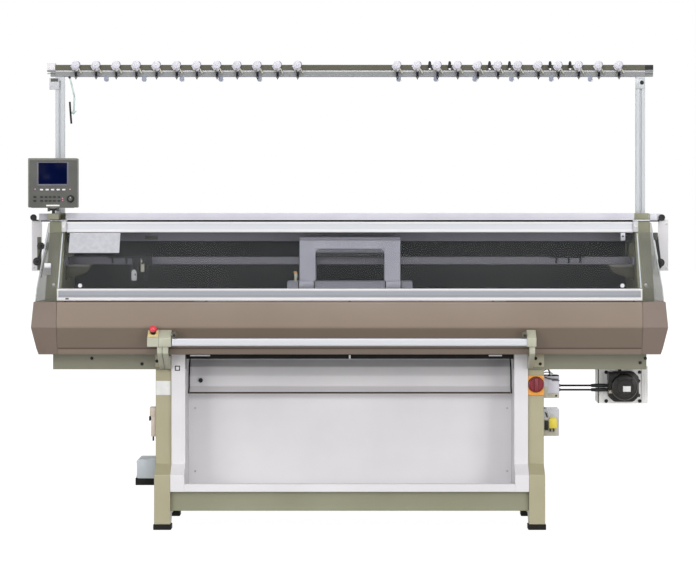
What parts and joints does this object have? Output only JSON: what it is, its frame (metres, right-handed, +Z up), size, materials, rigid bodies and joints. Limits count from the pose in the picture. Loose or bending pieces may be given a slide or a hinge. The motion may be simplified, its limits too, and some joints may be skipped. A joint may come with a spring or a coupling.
{
  "type": "flat knitting machine",
  "caption": "Computerised flat knitting machine: two grooved needle beds, travelling carriage, lifting front window, yarn stand, takedown rollers and control panel on a cast stand.",
  "frame": {"origin": "on the floor, midway between the ends and the front and back, under the gap of the needle beds", "axes": "+X to the right as the operator sees it, +Y to the back, +Z up"},
  "size_m": [2.8292, 0.9049, 2.05],
  "materials": {
    "olive_casting": "satin olive enamel",
    "olive_beam": "satin dark olive enamel",
    "brown_cover": "satin brown enamel",
    "white_panel": "fine textured white powder coat",
    "grey_table": "light grey powder coat",
    "dark_back": "matt dark olive paint",
    "extruded_aluminium": "anodised extrusion",
    "cast_aluminium": "machined casting",
    "bed_steel": "ground steel",
    "shaft_steel": "ground bar",
    "clear_sheet": "clear acrylic",
    "black_plastic": "moulded black plastic",
    "black_motor": "semi-gloss black enamel",
    "panel_grey": "moulded grey plastic",
    "light_plastic": "moulded light plastic",
    "stop_red": "moulded red plastic",
    "switch_red": "moulded red plastic",
    "switch_yellow": "moulded yellow plastic",
    "unit_plastic": "moulded cream plastic",
    "black_rubber": "moulded rubber"
  },
  "bodies": {
    "base": {"foot_pads": "black_rubber", "left_side_frame": "olive_casting", "right_side_frame": "olive_casting", "cross_beams": "olive_casting", "bed_frame": "olive_beam", "left_side_panel": "white_panel", "right_side_panel": "white_panel", "fabric_tray": "white_panel", "lower_panel": "white_panel", "control_cabinet": "white_panel", "front_needle_bed": "bed_steel", "front_cover": "brown_cover", "rear_cover": "brown_cover", "left_end_cap": "brown_cover", "right_end_cap": "brown_cover", "left_side_arm": "olive_beam", "right_side_arm": "olive_beam", "carrier_rails": "extruded_aluminium", "back_panel": "dark_back", "upper_rail": "extruded_aluminium", "window_hinge_rod": "shaft_steel", "yarn_table": "grey_table", "stand_posts": "extruded_aluminium", "top_bar": "extruded_aluminium", "tension_plate": "olive_beam", "tension_units": "unit_plastic", "side_tension_plates": "light_plastic", "side_tension_arms": "black_plastic", "left_side_window": "clear_sheet", "right_side_window": "clear_sheet", "bar_brackets": "olive_casting", "stop_button_box": "olive_casting", "switch_plate": "switch_yellow", "terminal_boxes": "light_plastic", "motor_bracket": "extruded_aluminium", "drive_motor": "black_motor", "motor_cables": "black_rubber", "suction_unit": "light_plastic", "drive_belt": "black_rubber", "panel_post": "olive_beam"},
    "carriage": {"front_carriage": "cast_aluminium", "rear_carriage": "cast_aluminium", "carriage_arch": "cast_aluminium"},
    "drive_pulley": {"drive_pulley": "cast_aluminium"},
    "idler_pulley": {"idler_pulley": "cast_aluminium"},
    "rear_bed": {"rear_needle_bed": "bed_steel"},
    "yarn_carrier": {"yarn_carrier": "black_plastic"},
    "window": {"front_window": "clear_sheet", "window_lower_rail": "extruded_aluminium", "window_top_rail": "extruded_aluminium"},
    "takedown_cover": {"takedown_cover": "white_panel"},
    "cover_lock": {"cover_lock": "black_plastic"},
    "start_bar": {"start_bar": "extruded_aluminium"},
    "stop_button": {"stop_button": "stop_red"},
    "main_switch": {"main_switch_rotor": "switch_red"},
    "panel_neck": {"panel_neck": "black_plastic"},
    "control_panel": {"control_panel": "panel_grey"},
    "panel_dial": {"panel_dial": "black_plastic"},
    "takedown_roller": {"takedown_roller": "black_rubber"},
    "nip_roller": {"nip_roller": "shaft_steel"}
  },
  "joints": [
    {"name": "carriage_travel", "type": "slide", "parent": "base", "child": "carriage", "axis": [1, 0, 0], "range_m": [-0.93, 0.93]},
    {"name": "drive_pulley_spin", "type": "hinge", "parent": "base", "child": "drive_pulley", "pos_m": [1.18, 0.2645, 0.88], "axis": [0, 1, 0], "continuous": true},
    {"name": "idler_pulley_spin", "type": "hinge", "parent": "base", "child": "idler_pulley", "pos_m": [-1.18, 0.2645, 0.88], "axis": [0, 1, 0], "continuous": true},
    {"name": "rear_bed_racking", "type": "slide", "parent": "base", "child": "rear_bed", "axis": [1, 0, 0], "range_m": [-0.0254, 0.0254]},
    {"name": "yarn_carrier_travel", "type": "slide", "parent": "base", "child": "yarn_carrier", "axis": [1, 0, 0], "range_m": [-0.25, 2.08]},
    {"name": "window_lift", "type": "hinge", "parent": "base", "child": "window", "pos_m": [0, -0.106, 1.337], "axis": [-1, 0, 0], "range_deg": [0, 70]},
    {"name": "takedown_cover_hinge", "type": "hinge", "parent": "base", "child": "takedown_cover", "pos_m": [0, 0.045, 0.724], "axis": [-1, 0, 0], "range_deg": [0, 55]},
    {"name": "cover_lock_turn", "type": "hinge", "parent": "takedown_cover", "child": "cover_lock", "pos_m": [-0.661, -0.03, 0.63], "axis": [0, -1, 0], "range_deg": [0, 90]},
    {"name": "start_bar_twist", "type": "hinge", "parent": "base", "child": "start_bar", "pos_m": [0, -0.41, 0.846], "axis": [1, 0, 0], "range_deg": [-15, 15], "stiffness_Nm_per_rad": 20},
    {"name": "stop_button_press", "type": "slide", "parent": "base", "child": "stop_button", "axis": [0, 0.5057, -0.8627], "range_m": [0, 0.005], "stiffness_N_per_m": 2000},
    {"name": "main_switch_turn", "type": "hinge", "parent": "base", "child": "main_switch", "pos_m": [0.81, -0.25, 0.624], "axis": [0, 1, 0], "range_deg": [0, 90]},
    {"name": "panel_swivel", "type": "hinge", "parent": "base", "child": "panel_neck", "pos_m": [-1.3, -0.14, 1.37], "axis": [0, 0, 1], "range_deg": [-40, 40]},
    {"name": "panel_tilt", "type": "hinge", "parent": "panel_neck", "child": "control_panel", "pos_m": [-1.3, -0.14, 1.386], "axis": [-1, 0, 0], "range_deg": [-10, 25]},
    {"name": "panel_dial_turn", "type": "hinge", "parent": "control_panel", "child": "panel_dial", "pos_m": [-1.222, -0.175, 1.432], "axis": [0, 1, 0], "continuous": true},
    {"name": "takedown_roller_spin", "type": "hinge", "parent": "base", "child": "takedown_roller", "pos_m": [0, -0.025, 0.78], "axis": [1, 0, 0], "continuous": true},
    {"name": "nip_roller_spin", "type": "hinge", "parent": "base", "child": "nip_roller", "pos_m": [0, 0.025, 0.78], "axis": [1, 0, 0], "continuous": true}
  ],
  "couplings": [
    {"joint": "drive_pulley_spin", "follows": "carriage_travel", "rad_per_m": 27.174},
    {"joint": "idler_pulley_spin", "follows": "carriage_travel", "rad_per_m": 27.174},
    {"joint": "nip_roller_spin", "follows": "takedown_roller_spin", "ratio": -1}
  ]
}
